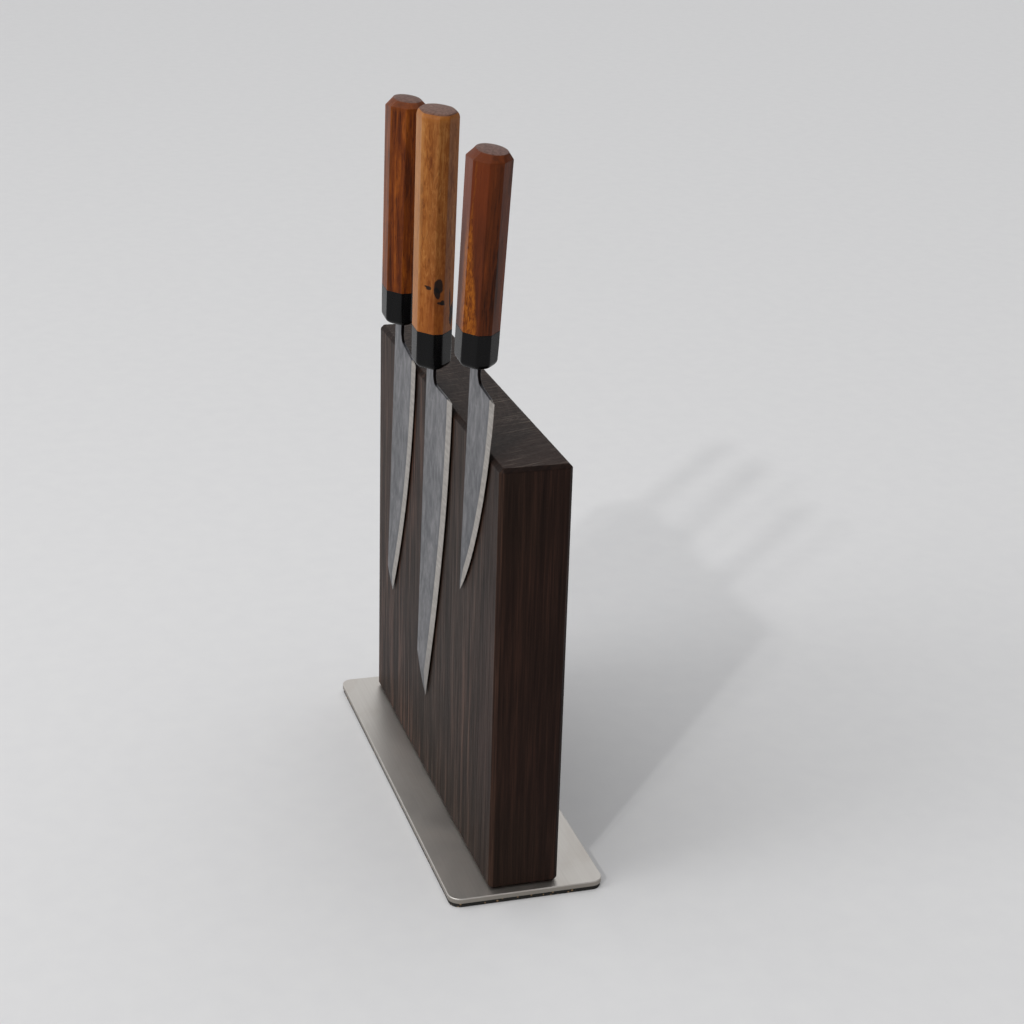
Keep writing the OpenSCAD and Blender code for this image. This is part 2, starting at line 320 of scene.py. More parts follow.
def blade_section(size, z):
    """(spine x, bevel line x, edge x, half thickness at the spine) of the blade at height z."""
    edge = size["edge"]
    low, high = 0.0, 1.0
    target = min(0.0, max(z, edge[3][1]))
    for _ in range(30):
        middle = (low + high) / 2
        if cubic(edge, middle)[1] > target:
            low = middle
        else:
            high = middle
    edge_x = cubic(edge, low)[0]
    drop = max(0, (size["drop_z"] - target) / (size["drop_z"] - edge[3][1]))
    spine_x = min(edge_x - 0.3, edge[3][0] * drop)
    wide = edge_x - spine_x
    return (
        spine_x,
        edge_x - min(size["bevel_w"] * (1 - 0.15 * target / edge[3][1]), 0.52 * wide),
        edge_x,
        BLADE_HALF_T * min(1, 0.35 + wide / 20),
    )


def blade_half_t(size, x, z):
    """Half the blade's thickness: full in the neck, thinner to the bevel, and slightly hollow past it."""
    spine_x, bevel_x, edge_x, spine_t = blade_section(size, z)
    bevel_t = min(BEVEL_HALF_T, spine_t)
    if z > 0 and x < NECK_W:
        return spine_t
    if x <= bevel_x:
        share = (x - spine_x) / max(0.1, bevel_x - spine_x)
        return spine_t + (bevel_t - spine_t) * max(0, share)
    share = min(1, (x - bevel_x) / max(0.1, edge_x - bevel_x))
    hollow = 0.06 * math.sin(math.pi * share)
    return bevel_t + (EDGE_HALF_T - bevel_t) * share + hollow


def blunt_line(size, heel, tip):
    """The outline from the tip up the spine, over the neck and along the choil; and where that starts."""
    drop = Vector((0, size["drop_z"]))
    neck_top = size["axis"][1] + 4
    pitch = 2.5
    spine = [Vector((0, neck_top - pitch * i)) for i in range(int((neck_top - drop.y) / pitch))]
    spine = [p for p in spine if p.y > drop.y + 1]
    falls = 8
    spine += [drop.lerp(tip, i / falls) for i in range(falls)]
    line = list(reversed(spine)) + [Vector((NECK_W, neck_top))]
    choil_at = len(line)
    for i in range(CHOIL_STEPS + 1):
        turn = math.pi + math.pi / 2 * i / CHOIL_STEPS
        out = Vector((1 + math.cos(turn), 1 + math.sin(turn)))
        line.append(Vector((NECK_W, size["choil_z"])) + CHOIL_R * out)
    corner = line[-1]
    line += [corner.lerp(heel, i / 6) for i in range(1, 6)]
    return line, choil_at


def blade_mesh(size):
    """The ground blade, its choil and its neck: a flat outline given a thickness at every point."""
    steps = 64
    edge = [cubic(size["edge"], i / steps) for i in range(steps + 1)]
    tip = edge[-1]
    choil = size["choil_z"]
    blunt, first_scale = blunt_line(size, edge[0], tip)
    last_scale = first_scale + CHOIL_STEPS - 1
    outline = [tip] + blunt + edge[:-1]
    # The blunt side's two edges are broken by this much.
    rim = 0.22
    blunt_count = len(outline) - len(edge) + 1
    inner = []
    for i in range(2, blunt_count - 1):
        along = (outline[i + 1] - outline[i - 1]).normalized()
        inner.append(outline[i] + Vector((along.y, -along.x)) * rim)
    bevel = []
    for i in range(2, steps - 3):
        z = edge[i].y
        bevel.append(Vector((blade_section(size, z)[1], z)))
    # The bevel's line starts just under the choil, which slopes to the heel.
    heel = blade_section(size, 0)
    bevel.insert(0, Vector((heel[1], choil * (heel[2] - heel[1]) / (heel[2] - NECK_W - CHOIL_R) - 0.25)))
    middle = []
    rows = 62
    last_row = 55
    for share in (0.25, 0.5, 0.75):
        for i in range(1, last_row + 1):
            z = tip.y * i / rows
            section = blade_section(size, z)
            x = section[0] + (section[1] - section[0]) * share
            if z > size["drop_z"] + 4:
                middle.append(Vector((x, z)))
    points = outline + inner + bevel + middle
    n = len(outline)
    m = n + len(inner)
    wires = [(i, i + 1) for i in range(n, m - 1)]
    wires += [(i, i + 1) for i in range(m, m + len(bevel) - 1)]
    flat, _, triangles, origins, _, _ = delaunay_2d_cdt(points, wires, [list(range(n))], 1, 1e-5)
    came = [o[0] if o else -1 for o in origins]
    # Each point's place, how far it is past the bevel's line, and its share of scale.
    full, past_bevel, scale = [], [], []
    for side in (-1, 1):
        for p, source in zip(flat, came):
            half = blade_half_t(size, p.x, p.y)
            if 0 <= source < blunt_count and source != 0:
                half = max(0.1, half - rim)
            if source == 0 or blunt_count <= source < n:
                half = EDGE_HALF_T
            full.append(Vector((p.x, side * half, p.y)))
            past_bevel.append(p.x - blade_section(size, p.y)[1])
            along_choil = (source - last_scale) / (blunt_count - last_scale)
            is_dark = first_scale <= source < blunt_count
            scale.append(1 - size["bright_choil"] * min(1, max(0, 2.5 * along_choil)) if is_dark else 0)
    count = len(flat)
    faces = []
    sides = []
    for a, b, c in triangles:
        if (flat[b] - flat[a]).cross(flat[c] - flat[a]) < 0:
            b, c = c, b
        faces += [(a, b, c), (a + count, c + count, b + count)]
        sides += [(a, b), (b, c), (c, a)]
    shared = set(sides)
    faces += [(b, a, a + count, b + count) for a, b in sides if (b, a) not in shared]
    place = blade_place(size) @ Matrix.Translation((-size["axis"][0], 0, -size["axis"][1]))
    mesh = bpy.data.meshes.new("blade")
    mesh.from_pydata([place @ p * MM for p in full], [], faces)
    on_line = {i for i, source in enumerate(came) if m <= source < m + len(bevel)}
    crisp = mesh.attributes.new("bevel_line", "BOOLEAN", "EDGE")
    crisp.data.foreach_set("value", [all(v % count in on_line for v in e.vertices) for e in mesh.edges])
    keep_local(mesh, full)
    ground = mesh.attributes.new("past_bevel", "FLOAT", "POINT")
    ground.data.foreach_set("value", [past * MM for past in past_bevel])
    forged = mesh.attributes.new("scale", "FLOAT", "POINT")
    forged.data.foreach_set("value", scale)
    return mesh


# ---------------------------------------------------------------- stand

def stave_mesh(node, side, spot):
    """One stave: chamfered and softly worn where it is outside, plain where it is glued."""
    low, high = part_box(node)
    glued_y = high.y if side == "front" else low.y
    outside = {
        (0, -1): spot == "far", (0, 1): spot == "near",
        (1, -1): side == "front", (1, 1): side == "rear",
        (2, -1): True, (2, 1): True,
    }

    def is_outside(face):
        """Whether a face is on the board's surface, and not glued to another stave."""
        axis = max(range(3), key=lambda i: abs(face.normal[i]))
        return outside[(axis, 1 if face.normal[axis] > 0 else -1)]

    def folds(edge, least, most):
        """Whether the surface turns at an edge by an angle between least and most, in degrees."""
        if len(edge.link_faces) != 2:
            return False
        return math.radians(least) < edge.calc_face_angle(0) < math.radians(most)

    def is_seam(edge):
        """Whether a stave's glued end meets a face that shows along this edge."""
        if not folds(edge, 80, 100):
            return False
        other, end = sorted((f.normal for f in edge.link_faces), key=lambda v: abs(v.x))
        if abs(end.x) <= 0.99 or abs(other.y) + abs(other.z) <= 0.99:
            return False
        return abs(other.z) > 0.9 or all(abs(v.co.y - glued_y) > 1e-6 for v in edge.verts)

    shape = bmesh.new()
    bmesh.ops.create_cube(shape, size=1)
    for v in shape.verts:
        v.co = Vector([high[i] if v.co[i] > 0 else low[i] for i in range(3)])
    shape.normal_update()
    outer = [e for e in shape.edges if all(is_outside(f) for f in e.link_faces)]
    bmesh.ops.bevel(shape, geom=outer, offset=BOARD_EASE * MM, segments=1, profile=0.5, affect="EDGES")
    shape.normal_update()
    worn = [e for e in shape.edges if folds(e, 20, 70)]
    bmesh.ops.bevel(shape, geom=worn, offset=0.45 * MM, segments=2, profile=0.5, affect="EDGES")
    seams = [e for e in shape.edges if is_seam(e)]
    bmesh.ops.bevel(shape, geom=seams, offset=0.12 * MM, segments=1, profile=0.5, affect="EDGES")
    shape.normal_update()
    for face in shape.faces:
        looks = "sawn" if abs(face.normal.z) > 0.9 else "narrow" if abs(face.normal.x) > 0.9 else "long"
        face.material_index = BOARD_FACES.index(looks)
    mesh = bpy.data.meshes.new(node)
    shape.to_mesh(mesh)
    shape.free()
    return mesh


def slab_mesh(node, corner_r, low_soft, high_soft):
    """A flat slab with round corners and softened edges."""
    low, high = (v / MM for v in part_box(node))
    outline = filleted([(low.x, low.y), (high.x, low.y), (high.x, high.y), (low.x, high.y)], corner_r, 14)
    centre = (low + high).xy / 2
    half = (high - low) / 2
    profile = [(low.z + up, inset) for up, inset in quarter(low_soft, 4)]
    profile += [(high.z - down, inset) for inset, down in quarter(high_soft, 4)]
    rings = []
    for z, inset in profile:
        ring = []
        for p in outline:
            away = p - centre
            corner = Vector([max(abs(away[i]) - half[i] + corner_r, 0) for i in range(2)])
            pull = corner.normalized() * inset
            ring.append(Vector((p.x - math.copysign(pull.x, away.x), p.y - math.copysign(pull.y, away.y), z)))
        rings.append(ring)
    return loft(rings, Matrix.Identity(4))


# ---------------------------------------------------------------- materials

class Shader:
    """A material's or the sky's nodes, wired by short calls that give back an output socket."""

    def __init__(self, owner):
        self.owner = owner
        owner.use_nodes = True
        self.tree = owner.node_tree
        self.tree.nodes.clear()

    def node(self, kind, inputs, **settings):
        """A node of that kind, with each of its inputs linked or set."""
        made = self.tree.nodes.new(kind)
        for key, value in settings.items():
            setattr(made, key, value)
        for key, value in inputs.items():
            if isinstance(value, bpy.types.NodeSocket):
                self.tree.links.new(value, made.inputs[key])
            else:
                made.inputs[key].default_value = value
        return made

    def place(self):
        """A point's place in the row frame, in metres."""
        return self.node("ShaderNodeTexCoord", {}).outputs["Object"]

    def attribute(self, name, output="Vector"):
        """What the mesh stores under that name."""
        return self.node("ShaderNodeAttribute", {}, attribute_name=name).outputs[output]

    def stretch(self, vector, scale, shift=(0, 0, 0), turn=(0, 0, 0)):
        """A vector scaled, turned and then shifted."""
        inputs = {"Vector": vector, "Scale": scale, "Location": shift, "Rotation": turn}
        return self.node("ShaderNodeMapping", inputs).outputs["Vector"]

    def grain(self, vector, scale, shift=(0, 0, 0), detail=3, rough=0.5, bend=0):
        """Noise from 0 to 1, with its cycles in each metre along each direction."""
        inputs = {"Scale": 1, "Detail": detail, "Roughness": rough, "Distortion": bend}
        inputs["Vector"] = self.stretch(vector, scale, shift)
        return self.node("ShaderNodeTexNoise", inputs).outputs["Fac"]

    def cells(self, vector, scale, output):
        """Irregular cells: the distance to each one's middle, or a colour of its own."""
        return self.node("ShaderNodeTexVoronoi", {"Vector": vector, "Scale": scale}).outputs[output]

    def math(self, operation, a, b=0.0):
        return self.node("ShaderNodeMath", {0: a, 1: b}, operation=operation).outputs[0]

    def plus(self, a, b):
        return self.math("ADD", a, b)

    def minus(self, a, b):
        return self.math("SUBTRACT", a, b)

    def times(self, a, b):
        return self.math("MULTIPLY", a, b)

    def weigh(self, *parts):
        """The sum of values, each times its weight."""
        total = self.times(*parts[0])
        for value, weight in parts[1:]:
            total = self.plus(total, self.times(value, weight))
        return total

    def fit(self, value, low, high, to_low=0.0, to_high=1.0, smooth=False):
        """A value taken from the range low to high to another one, and held at its ends."""
        inputs = {"Value": value, "From Min": low, "From Max": high, "To Min": to_low, "To Max": to_high}
        kind = "SMOOTHSTEP" if smooth else "LINEAR"
        return self.node("ShaderNodeMapRange", inputs, interpolation_type=kind).outputs["Result"]

    def mix(self, share, a, b):
        """The colour a, or b where share is 1."""
        a, b = ((*c, 1) if isinstance(c, tuple) else c for c in (a, b))
        return self.node("ShaderNodeMix", {0: share, 6: a, 7: b}, data_type="RGBA").outputs[2]

    def ramp(self, share, stops):
        """A colour from a row of (position, colour)."""
        made = self.node("ShaderNodeValToRGB", {"Fac": share})
        ramp = made.color_ramp
        while len(ramp.elements) < len(stops):
            ramp.elements.new(0.5)
        for element, (position, shade) in zip(ramp.elements, stops):
            element.position = position
            element.color = (*shade, 1)
        return made.outputs["Color"]

    def split(self, vector):
        """A vector's parts, by "X", "Y" and "Z"."""
        return self.node("ShaderNodeSeparateXYZ", {"Vector": vector}).outputs

    def join(self, x, y, z):
        return self.node("ShaderNodeCombineXYZ", {"X": x, "Y": y, "Z": z}).outputs["Vector"]

    def length(self, vector):
        return self.node("ShaderNodeVectorMath", {0: vector}, operation="LENGTH").outputs["Value"]

    def bump(self, height, depth, strength):
        """Bump of a height from 0 to 1 that is depth metres deep."""
        inputs = {"Height": height, "Distance": depth, "Strength": strength}
        return self.node("ShaderNodeBump", inputs).outputs["Normal"]

    def surface(self, **inputs):
        """The finished material, from the surface shader's inputs with _ for spaces."""
        named = {"IOR": 1.45} | {key.replace("_", " "): value for key, value in inputs.items()}
        shader = self.node("ShaderNodeBsdfPrincipled", named)
        self.node("ShaderNodeOutputMaterial", {"Surface": shader.outputs["BSDF"]})
        return self.owner


def material_shader(name):
    """The shader of a new material."""
    return Shader(bpy.data.materials.new(name))


def colour(r, g, b):
    """A display colour from 0 to 255, as linear light."""
    return tuple((c / 255 / 12.92) if c <= 10 else ((c / 255 + 0.055) / 1.055) ** 2.4 for c in (r, g, b))


def board_wood(name, pith, seed, red_from, face):
    """Smoked hardwood, as one solid round its pith: rings on the sawn top, straight lines on the sides."""
    s = material_shader(name)
    place = s.place()
    sway = s.grain(place, (5, 5, 3.5), (seed, 0, 0), detail=1)
    radius = s.length(s.stretch(place, (1, 1, 0), (-pith[0] * MM, -pith[1] * MM, 0)))
    radius = s.plus(radius, s.times(s.minus(sway, 0.5), 0.005))
    layered = s.join(radius, s.split(place)["Z"], seed)
    pitch = 250 if face == "long" else 430
    tone = s.weigh(
        (s.grain(layered, (50, 3, 1), detail=2), 0.08),
        (s.grain(place, (pitch, pitch, 10), (seed, 3, 0), detail=4, rough=0.7), 0.46),
        (s.grain(layered, (1100, 20, 1), (0, 7, 0), detail=2, rough=0.6), 0.22),
        (s.grain(place, (1250, 1250, 26), (seed, 0, 0), detail=3, rough=0.7), 0.24),
    )
    spread = {"long": 0.095, "narrow": 0.15, "sawn": 0.11}[face]
    share = s.fit(tone, 0.5 - spread, 0.5 + spread)
    grey = s.ramp(share, [(0, colour(20, 12, 9)), (0.5, colour(35, 22, 16)), (1, colour(80, 54, 42))])
    red = s.ramp(share, [(0, colour(25, 14, 11)), (0.5, colour(39, 25, 20)), (1, colour(60, 39, 31))])
    heart_edge = ((red_from - 3) * MM, (red_from + 2) * MM)
    wood = s.mix(s.fit(radius, *heart_edge, smooth=True), grey, red)
    clouds = s.fit(s.grain(place, (9, 9, 5), (2, 5, 0), detail=2), 0.4, 0.62, 0, 0.7, smooth=True)
    wood = s.mix(clouds, wood, s.mix(share, colour(21, 14, 10), colour(50, 36, 28)))
    wood = edge_wear_and_highlight(s, place, share, wood)
    height = share
    if face == "sawn":
        marks = saw_marks(s, place, seed)
        heart = s.mix(s.fit(radius, *heart_edge), colour(36, 25, 20), colour(46, 31, 25))
        wood = s.mix(0.6, wood, heart)
        wood = s.mix(s.times(marks, 0.5), wood, colour(116, 104, 94))
        height = s.plus(s.times(share, 0.5), marks)
    rough = s.fit(share, 0.0, 1.0, 0.54, 0.42)
    return s.surface(Base_Color=wood, Roughness=rough, IOR=1.17, Normal=s.bump(height, 0.00016, 0.7))


def edge_wear_and_highlight(s, place, share, wood):
    """The long front corner, lighter in patches, partly wear and partly a painted highlight where it faces
    the light, and the top's cut edges, which have soaked up more smoke.
    """
    parts = s.split(place)
    # The near front chamfer is painted lighter in patches: partly wear, partly a painted highlight for the
    # light it catches.
    corner = s.fit(s.minus(parts["X"], parts["Y"]), (LIT_WORN_CORNER - 0.5) * MM, (LIT_WORN_CORNER - 0.1) * MM)
    patchy = s.fit(s.grain(place, (9, 9, 9), detail=2), 0.4, 0.62, 0.1, 0.5)
    wood = s.mix(s.times(corner, patchy), wood, s.mix(share, colour(42, 27, 21), colour(78, 56, 45)))
    for at, across in ((DARK_END_EDGE, parts["X"]), (DARK_FRONT_EDGE, s.times(parts["Y"], -1.0))):
        dark = s.fit(s.plus(parts["Z"], across), (at - 0.5) * MM, (at - 0.1) * MM, 0, 0.65)
        wood = s.mix(dark, wood, colour(24, 16, 14))
    return wood


def saw_marks(s, place, seed):
    """The saw's fine slanting marks, in patches, with a few that run right across."""
    parts = s.split(place)
    across = s.plus(parts["X"], s.times(parts["Y"], 0.3))
    sawn = s.join(across, parts["Y"], seed)
    lines = s.grain(sawn, (560, 30, 1), detail=3, rough=0.6)
    patches = s.grain(sawn, (26, 34, 1), (3, 0, 0), detail=2)
    marks = s.times(s.fit(lines, 0.52, 0.68), s.fit(patches, 0.4, 0.58, 0.12, 1.0))
    for at in SCORED_LINES:
        gap = s.math("ABSOLUTE", s.minus(across, at * MM))
        score = s.times(s.fit(gap, 0.0005, 0.0001), s.fit(lines, 0.35, 0.6))
        marks = s.math("MAXIMUM", marks, score)
    return marks


def handle_wood(name, size, tones, figure, seed, cap, marks):
    """Oiled wood: streaks, a mottled figure, short dark pores, a painted highlight on the shoulder, a greyer
    sawn butt and its own marks.
    """
    s = material_shader(name)
    place = s.attribute("local")
    moved = s.stretch(place, (1, 1, 1), (seed, seed * 0.7, seed * 0.3))
    bands = s.grain(moved, (70, 70, 7), detail=2, bend=0.8)
    streaks = s.grain(moved, (330, 330, 22), detail=3, rough=0.6, bend=0.7)
    mottle = s.grain(moved, (520, 520, 150), detail=3, rough=0.6, bend=1.0)
    fibres = s.grain(moved, (1500, 1500, 60), detail=2, rough=0.6)
    tone = s.weigh((bands, 0.34), (streaks, 0.66 - figure), (mottle, figure), (s.minus(fibres, 0.5), 0.16))
    stops = [(i / (len(tones) - 1), colour(*shade)) for i, shade in enumerate(tones)]
    wood = s.ramp(s.fit(tone, 0.37, 0.63), stops)
    pores = s.fit(s.grain(moved, (1700, 1700, 170), detail=1), 0.64, 0.74)
    dark = tuple(c * 0.55 for c in colour(*tones[0]))
    wood = s.mix(s.times(pores, 0.6), wood, dark)
    wood = marks(s, place, wood)
    height_up = s.split(place)["Z"]
    end = size["handle_l"]
    # The shoulder is painted a lighter, even tone: a painted highlight where it turns up to the light.
    shoulder = s.fit(height_up, (end - 5.5) * MM, (end - 3.5) * MM, 0, 0.55)
    wood = s.mix(shoulder, wood, colour(*tones[2]))
    butt = s.fit(height_up, (end - cap - 0.15) * MM, (end - cap + 0.15) * MM)
    sawn = s.grain(moved, (700, 700, 60), detail=3)
    sawn = s.ramp(sawn, [(0.35, colour(80, 54, 46)), (0.65, colour(116, 86, 76))])
    wood = s.mix(s.times(butt, 0.9), wood, sawn)
    height = s.minus(s.times(fibres, 0.5), s.times(pores, 0.6))
    rough = s.fit(tone, 0.35, 0.65, 0.46, 0.32)
    return s.surface(Base_Color=wood, Roughness=rough, IOR=1.21, Normal=s.bump(height, 0.0001, 0.7))


def spot_mask(s, place, centre, radii, turn, ragged):
    """1 inside an uneven oval mark on the handle's surface and 0 outside; sizes in millimetres."""
    centred = s.stretch(place, (1, 1, 1), tuple(-c * MM for c in centre))
    turned = s.stretch(centred, (1, 1, 1), turn=(turn, 0, 0))
    shaped = s.stretch(turned, tuple(1 / (r * MM) for r in radii))
    wander = s.grain(place, (330, 330, 200), centre, detail=4, rough=0.6)
    away = s.plus(s.length(shaped), s.times(s.minus(wander, 0.5), ragged * 4))
    return s.fit(away, 1.08, 0.86, smooth=True)


def utility_marks(s, place, wood):
    """A painted highlight: the front facet lighter and more golden where the light falls on it; and darker
    heartwood in long ragged patches.
    """
    # The front facet is painted lighter and more golden, for the light it catches: a painted highlight.
    front = s.fit(s.split(place)["Y"], -0.0088, -0.01, 0, 0.75)
    wood = s.mix(front, wood, s.mix(0.3, wood, colour(142, 76, 18)))
    patches = s.grain(place, (150, 150, 26), (4, 1, 0), detail=3, rough=0.6, bend=0.8)
    return s.mix(s.fit(patches, 0.52, 0.66, 0.0, 0.6), wood, colour(54, 22, 10))


def chef_marks(s, place, wood):
    """A dark knot with smaller flecks near the ferrule, a dark streak that runs into the ferrule, a painted
    highlight on the front facet and painted shade on the edge side.
    """
    # Each mark's centre, half sizes, turn round the x axis and raggedness.
    marks = [
        ((13, -0.5, 50.5), (9, 2.6, 4.4), -0.1, 0.15),
        ((13, -1.3, 46.5), (9, 1.7, 3.8), -0.25, 0.15),
        ((13, -5.6, 49), (9, 1.1, 1.3), 0.5, 0.4),
        ((13, -6.4, 49.6), (9, 1.1, 0.6), 0.2, 0.3),
        ((13, 0.9, 40.4), (9, 2.6, 0.9), 0.25, 0.3),
        ((13, 1.8, 40.8), (9, 1.3, 1.5), 0, 0.3),
        ((10, 7.4, 40), (5, 0.6, 8), -0.06, 0.4),
        ((10, 9.0, 32), (5, 1.6, 9), 0.08, 0.3),
    ]
    parts = s.split(place)
    # The front facet is painted lighter: a painted highlight.
    front = s.fit(parts["Y"], -0.0088, -0.01, 0, 0.35)
    wood = s.mix(front, wood, colour(190, 138, 84))
    # The edge side's facets are painted darker: painted shade.
    facet_shade = s.fit(parts["X"], 0.0085, 0.0125, 0, 0.5, smooth=True)
    wood = s.mix(facet_shade, wood, s.mix(0.7, wood, colour(84, 36, 10)))
    lower = s.fit(parts["Z"], 0.075, 0.03, 0, 0.45, smooth=True)
    wood = s.mix(lower, wood, s.mix(0.5, wood, colour(150, 74, 22)))
    halo = spot_mask(s, place, (13, 0.6, 46), (10, 5, 13), 0, 0.3)
    wood = s.mix(s.times(halo, 0.3), wood, colour(96, 48, 18))
    for centre, radii, turn, ragged in marks:
        spot = spot_mask(s, place, centre, radii, turn, ragged)
        wood = s.mix(s.times(spot, 0.93), wood, colour(21, 19, 19))
    return wood


def petty_marks(s, place, wood):
    """A golden streak that widens down to the ferrule, on the facet between the front and the edge side;
    painted shade on the front facets.
    """
    parts = s.split(place)
    drift = s.grain(place, (90, 90, 22), detail=3)
    middle = s.plus(-0.0094, s.times(s.minus(drift, 0.5), 0.004))
    away = s.math("ABSOLUTE", s.minus(parts["Y"], middle))
    width = s.fit(parts["Z"], 0.087, 0.02, -0.0004, 0.0042)
    mask = s.fit(s.minus(away, width), 0.0012, -0.0006, smooth=True)
    front = s.fit(parts["X"], 0.0, 0.004)
    mask = s.times(mask, front)
    curl = s.grain(place, (800, 800, 300), detail=3, bend=0.8)
    gold = s.ramp(curl, [(0.3, colour(84, 38, 8)), (0.5, colour(140, 74, 14)), (0.68, colour(168, 98, 24))])
    # The front facets are painted darker: painted shade.
    facet_shade = s.fit(parts["Y"], -0.002, -0.0045, 0, 0.85, smooth=True)
    wood = s.mix(facet_shade, wood, s.mix(0.65, wood, colour(60, 23, 8)))
    upper = s.times(s.fit(parts["Z"], 0.06, 0.1, 0, 0.32, smooth=True), s.fit(parts["Y"], -0.001, -0.004))
    wood = s.mix(upper, wood, s.mix(0.5, wood, colour(170, 74, 24)))
    return s.mix(s.times(mask, 0.75), wood, gold)


def blade_steel():
    """Satin forged steel: cloudy grey flats, a dark line of painted shade beside the bevel, and a bright
    ground bevel.
    """
    s = material_shader("blade_steel")
    place = s.attribute("local")
    past = s.attribute("past_bevel", "Fac")
    clouds = s.grain(place, (42, 42, 26), detail=4, rough=0.6, bend=0.8)
    mottle = s.grain(place, (240, 240, 110), detail=4, rough=0.7, bend=0.5)
    draw = s.grain(place, (1500, 1500, 60), detail=3, rough=0.6)
    tone = s.weigh((clouds, 0.42), (mottle, 0.4), (draw, 0.18))
    greys = [(0, colour(80, 82, 87)), (0.5, colour(107, 107, 111)), (1, colour(132, 131, 134))]
    flat = s.ramp(s.fit(tone, 0.405, 0.595), greys)
    freckle = s.fit(s.grain(place, (520, 520, 260), detail=2), 0.68, 0.76)
    flat = s.mix(s.times(freckle, 0.5), flat, colour(62, 60, 60))
    # A dark band of painted shade beside the bevel line.
    shade = s.times(s.fit(past, -0.006, -0.001, smooth=True), s.fit(past, 0.0002, -0.0004))
    flat = s.mix(s.times(shade, 0.55), flat, colour(76, 78, 84))
    ground = s.grain(place, (130, 130, 420), detail=4, rough=0.6)
    bevel = s.ramp(s.fit(ground, 0.3, 0.7), [(0, colour(150, 144, 138)), (1, colour(184, 178, 171))])
    # The bevel is darker towards the tip.
    towards_tip = s.fit(s.split(place)["Z"], -0.14, -0.19, 0, 0.5, smooth=True)
    bevel = s.mix(towards_tip, bevel, colour(112, 108, 104))
    on_bevel = s.fit(past, -0.0001, 0.0003)
    skin = s.mix(on_bevel, flat, bevel)
    # Forging scale, left dark on the choil's narrow side.
    scale = s.attribute("scale", "Fac")
    skin = s.mix(scale, skin, colour(26, 22, 22))
    rough = s.plus(s.fit(tone, 0.3, 0.7, 0.46, 0.36), s.times(on_bevel, -0.08))
    rough = s.plus(rough, s.times(scale, 0.25))
    height = s.weigh((draw, 0.5), (mottle, 0.5))
    return s.surface(Base_Color=skin, Metallic=1.0, Roughness=rough, Normal=s.bump(height, 0.00006, 0.6))


def horn():
    """Polished black horn, faintly streaked."""
    s = material_shader("ferrule_horn")
    place = s.attribute("local")
    streaks = s.grain(place, (240, 240, 30), detail=4, rough=0.6, bend=0.4)
    scuffs = s.grain(place, (900, 900, 700), detail=4, rough=0.7)
    blacks = [(0, colour(4, 4, 5)), (0.7, colour(7, 7, 8)), (1, colour(14, 13, 12))]
    skin = s.ramp(s.fit(streaks, 0.3, 0.75), blacks)
    rough = s.fit(scuffs, 0.3, 0.7, 0.22, 0.34)
    return s.surface(Base_Color=skin, Roughness=rough, IOR=1.25, Normal=s.bump(scuffs, 0.00001, 0.25))


def plate_steel():
    """Stainless steel brushed along its length, with faint smears, and its sides painted greyer: a painted
    dark reflection.
    """
    s = material_shader("plate_steel")
    place = s.place()
    lines = s.grain(place, (16, 2400, 2400), detail=4, rough=0.7)
    long_lines = s.grain(place, (5, 700, 700), detail=2)
    smears = s.grain(place, (22, 34, 30), detail=4, bend=0.8)
    tone = s.weigh((lines, 0.6), (long_lines, 0.4))
    skin = s.ramp(s.fit(tone, 0.2, 0.8), [(0, colour(203, 198, 192)), (1, colour(217, 213, 207))])
    skin = s.mix(s.fit(smears, 0.5, 0.75, 0, 0.3), skin, colour(186, 172, 160))
    # The sides are painted greyer, for the dim surroundings they reflect: a painted dark reflection.
    side_shade = s.fit(s.split(place)["Z"], (PLATE_TOP - 0.5) * MM, (PLATE_TOP - 0.9) * MM)
    skin = s.mix(side_shade, skin, colour(158, 152, 144))
    rough = s.plus(s.fit(tone, 0.3, 0.7, 0.42, 0.37), s.fit(smears, 0.4, 0.7, 0, 0.08))
    return s.surface(Base_Color=skin, Metallic=1.0, Roughness=rough, Normal=s.bump(tone, 0.00004, 0.6))


def cork_rubber():
    """Black cork-rubber: rounded granules, some of them light cork."""
    s = material_shader("pad_cork_rubber")
    place = s.place()
    pitch = 620.0
    grains = s.cells(place, pitch, "Distance")
    kinds = s.split(s.cells(place, pitch, "Color"))["X"]
    light = s.math("GREATER_THAN", kinds, 0.86)
    skin = s.mix(s.fit(grains, 0.1, 0.6), colour(24, 24, 22), colour(40, 39, 36))
    skin = s.mix(s.times(light, s.fit(grains, 0.5, 0.3)), skin, colour(146, 118, 86))
    rough = s.fit(grains, 0, 0.7, 0.75, 0.95)
    height = s.fit(grains, 0, 0.6, 1, 0)
    return s.surface(Base_Color=skin, Roughness=rough, IOR=1.4, Normal=s.bump(height, 0.0003, 0.8))


def hidden_metal(name, shade, roughness, scratch):
    """Plain machined metal for the screws, inserts and magnets inside the stand."""
    s = material_shader(name)
    lines = s.grain(s.place(), scratch, detail=3)
    darker = (int(c * 0.86) for c in shade)
    skin = s.ramp(s.fit(lines, 0.3, 0.7), [(0, colour(*darker)), (1, colour(*shade))])
    rough = s.fit(lines, 0.3, 0.7, roughness + 0.06, roughness - 0.04)
    return s.surface(Base_Color=skin, Metallic=1.0, Roughness=rough, Normal=s.bump(lines, 0.00003, 0.5))


